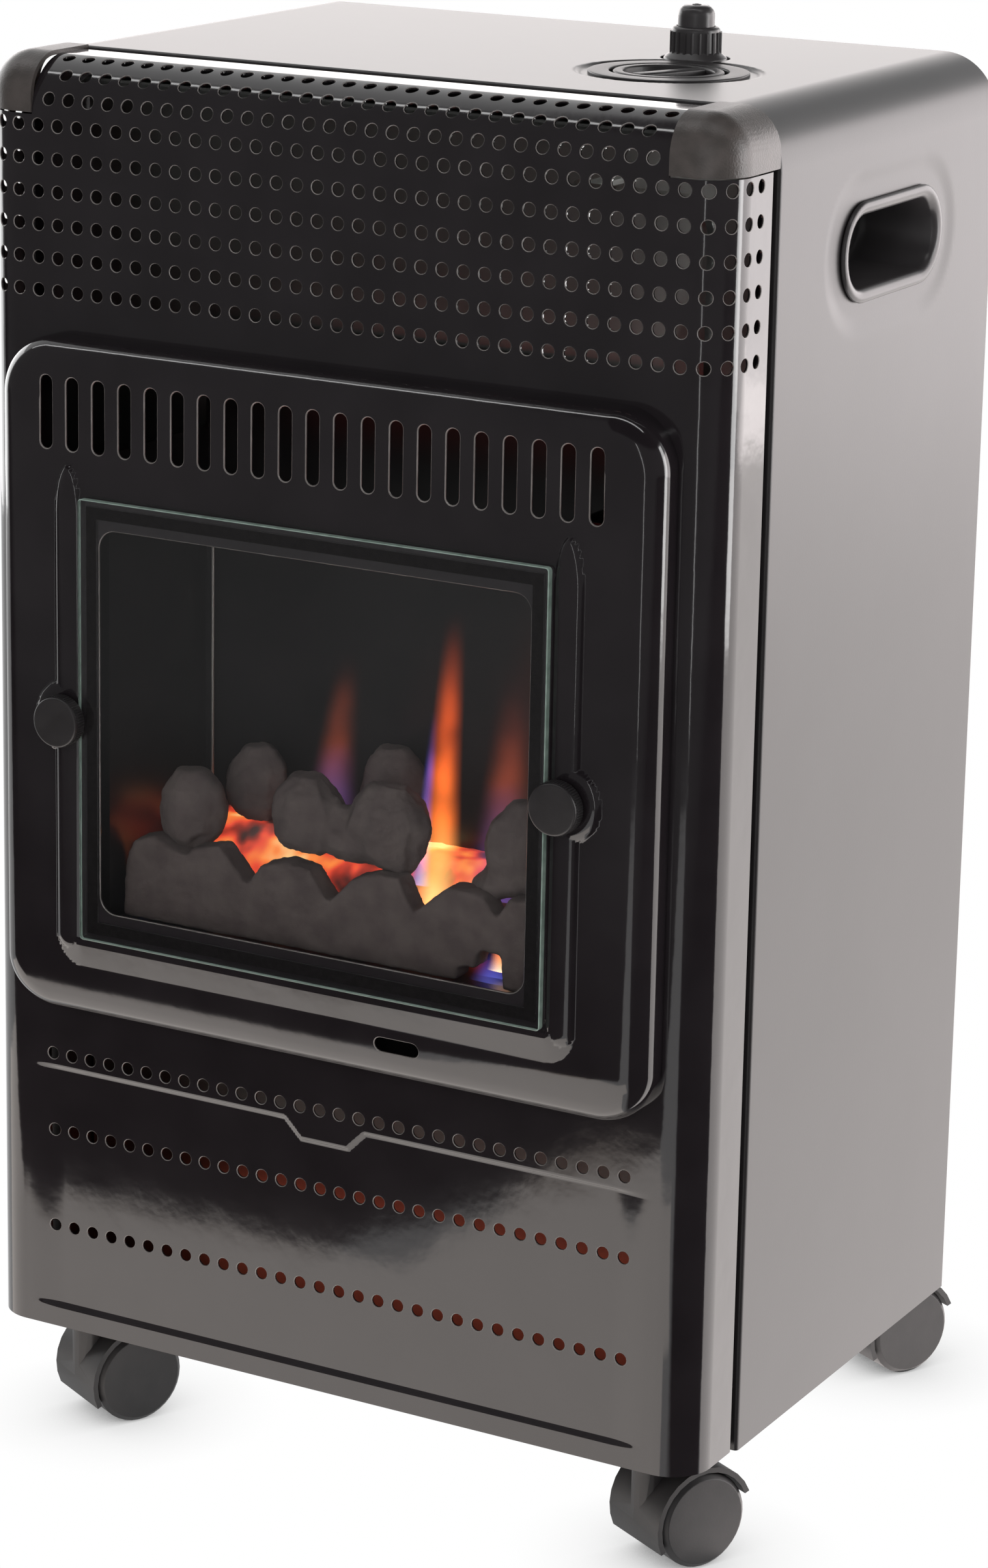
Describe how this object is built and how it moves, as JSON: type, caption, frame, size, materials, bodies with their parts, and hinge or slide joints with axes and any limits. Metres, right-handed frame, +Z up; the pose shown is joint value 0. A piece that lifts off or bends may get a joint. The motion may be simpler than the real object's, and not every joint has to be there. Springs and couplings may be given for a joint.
{
  "type": "portable gas cabinet heater",
  "caption": "Free-standing gas cabinet heater on casters, with a glazed coal-effect fire, a perforated front, a bottle bay behind a lift-off cover and a dial and igniter on top.",
  "frame": {"origin": "centre of the footprint's bounding box, on the floor under the casters", "axes": "+Z up, +Y from the fire towards the rear cover, +X to the right of someone facing the fire"},
  "size_m": [0.424, 0.3984, 0.763],
  "materials": {
    "casing_black": "fine-texture satin black powder coat",
    "front_black": "gloss black stove enamel",
    "dark_plastic": "fine-grained moulded dark grey plastic",
    "caster_plastic": "moulded charcoal nylon",
    "glass": "clear heat-resistant glass, faint green edge",
    "gasket": "pressed dark grey fibre strip",
    "refractory": "rough moulded ceramic fibre",
    "heat_steel": "matt black heat-resistant paint",
    "bright_steel": "zinc plated",
    "aluminised_steel": "aluminised sheet",
    "brass": "machined",
    "copper_pipe": "drawn, plain",
    "white_ceramic": "glazed insulator"
  },
  "bodies": {
    "cabinet": {"cabinet_wrap": "casing_black", "front_panel": "front_black", "corner_caps": "dark_plastic", "fire_surround": "front_black", "glass_pane": "glass", "glass_gasket": "gasket", "knob_nuts": "bright_steel", "firebox": "heat_steel", "coal_fret": "refractory", "fuel_bed": "refractory", "burner": "aluminised_steel", "pilot_burner": "bright_steel", "spark_electrode": "white_ceramic", "thermocouple": "bright_steel", "gas_pipe": "copper_pipe", "gas_valve": "brass", "valve_bracket": "aluminised_steel", "inlet_nozzle": "brass", "dial_bezel": "dark_plastic", "igniter_body": "dark_plastic", "igniter_collar": "dark_plastic", "handle_cups": "dark_plastic", "base_tray": "casing_black", "caster_sockets": "dark_plastic", "bulkhead": "aluminised_steel", "heat_deflector": "aluminised_steel", "coal_1": "refractory", "coal_2": "refractory", "coal_3": "refractory", "coal_4": "refractory", "coal_5": "refractory"},
    "valve_stem": {"valve_stem": "brass"},
    "dial": {"dial_knob": "dark_plastic"},
    "igniter_button": {"igniter_button": "dark_plastic"},
    "glass_knob_left": {"glass_knob_left": "dark_plastic"},
    "glass_knob_right": {"glass_knob_right": "dark_plastic"},
    "rear_cover": {"rear_cover": "casing_black"},
    "swivel_front_left": {"caster_hood_front_left": "caster_plastic", "caster_stem_front_left": "bright_steel"},
    "wheels_front_left": {"caster_wheels_front_left": "caster_plastic"},
    "swivel_front_right": {"caster_hood_front_right": "caster_plastic", "caster_stem_front_right": "bright_steel"},
    "wheels_front_right": {"caster_wheels_front_right": "caster_plastic"},
    "swivel_rear_left": {"caster_hood_rear_left": "caster_plastic", "caster_stem_rear_left": "bright_steel"},
    "wheels_rear_left": {"caster_wheels_rear_left": "caster_plastic"},
    "swivel_rear_right": {"caster_hood_rear_right": "caster_plastic", "caster_stem_rear_right": "bright_steel"},
    "wheels_rear_right": {"caster_wheels_rear_right": "caster_plastic"}
  },
  "joints": [
    {"name": "stem_push", "type": "slide", "parent": "cabinet", "child": "valve_stem", "axis": [0, 0, -1], "range_m": [0, 0.004], "stiffness_N_per_m": 800, "springref_m": -0.002},
    {"name": "dial_turn", "type": "hinge", "parent": "valve_stem", "child": "dial", "pos_m": [0.1038, -0.02325, 0.73], "axis": [0, 0, 1], "range_deg": [-90, 180]},
    {"name": "igniter_push", "type": "slide", "parent": "cabinet", "child": "igniter_button", "axis": [0, 0, -1], "range_m": [0, 0.006], "stiffness_N_per_m": 1200, "springref_m": -0.002},
    {"name": "glass_knob_left_turn", "type": "hinge", "parent": "cabinet", "child": "glass_knob_left", "pos_m": [-0.1421, -0.18825, 0.4075], "axis": [0, 1, 0], "continuous": true},
    {"name": "glass_knob_right_turn", "type": "hinge", "parent": "cabinet", "child": "glass_knob_right", "pos_m": [0.1421, -0.18825, 0.4075], "axis": [0, 1, 0], "continuous": true},
    {"name": "rear_cover_pull", "type": "slide", "parent": "cabinet", "child": "rear_cover", "axis": [0, 1, 0], "range_m": [0, 0.2]},
    {"name": "caster_swivel_front_left", "type": "hinge", "parent": "cabinet", "child": "swivel_front_left", "pos_m": [-0.1695, -0.13025, 0.06], "axis": [0, 0, 1], "continuous": true},
    {"name": "caster_roll_front_left", "type": "hinge", "parent": "swivel_front_left", "child": "wheels_front_left", "pos_m": [-0.16011, -0.11259, 0.025], "axis": [0.8829, -0.4695, 0], "continuous": true},
    {"name": "caster_swivel_front_right", "type": "hinge", "parent": "cabinet", "child": "swivel_front_right", "pos_m": [0.1695, -0.13025, 0.06], "axis": [0, 0, 1], "continuous": true},
    {"name": "caster_roll_front_right", "type": "hinge", "parent": "swivel_front_right", "child": "wheels_front_right", "pos_m": [0.17889, -0.11259, 0.025], "axis": [0.8829, -0.4695, 0], "continuous": true},
    {"name": "caster_swivel_rear_left", "type": "hinge", "parent": "cabinet", "child": "swivel_rear_left", "pos_m": [-0.158, 0.14775, 0.06], "axis": [0, 0, 1], "continuous": true},
    {"name": "caster_roll_rear_left", "type": "hinge", "parent": "swivel_rear_left", "child": "wheels_rear_left", "pos_m": [-0.14861, 0.16541, 0.025], "axis": [0.8829, -0.4695, 0], "continuous": true},
    {"name": "caster_swivel_rear_right", "type": "hinge", "parent": "cabinet", "child": "swivel_rear_right", "pos_m": [0.158, 0.14775, 0.06], "axis": [0, 0, 1], "continuous": true},
    {"name": "caster_roll_rear_right", "type": "hinge", "parent": "swivel_rear_right", "child": "wheels_rear_right", "pos_m": [0.16739, 0.16541, 0.025], "axis": [0.8829, -0.4695, 0], "continuous": true}
  ]
}
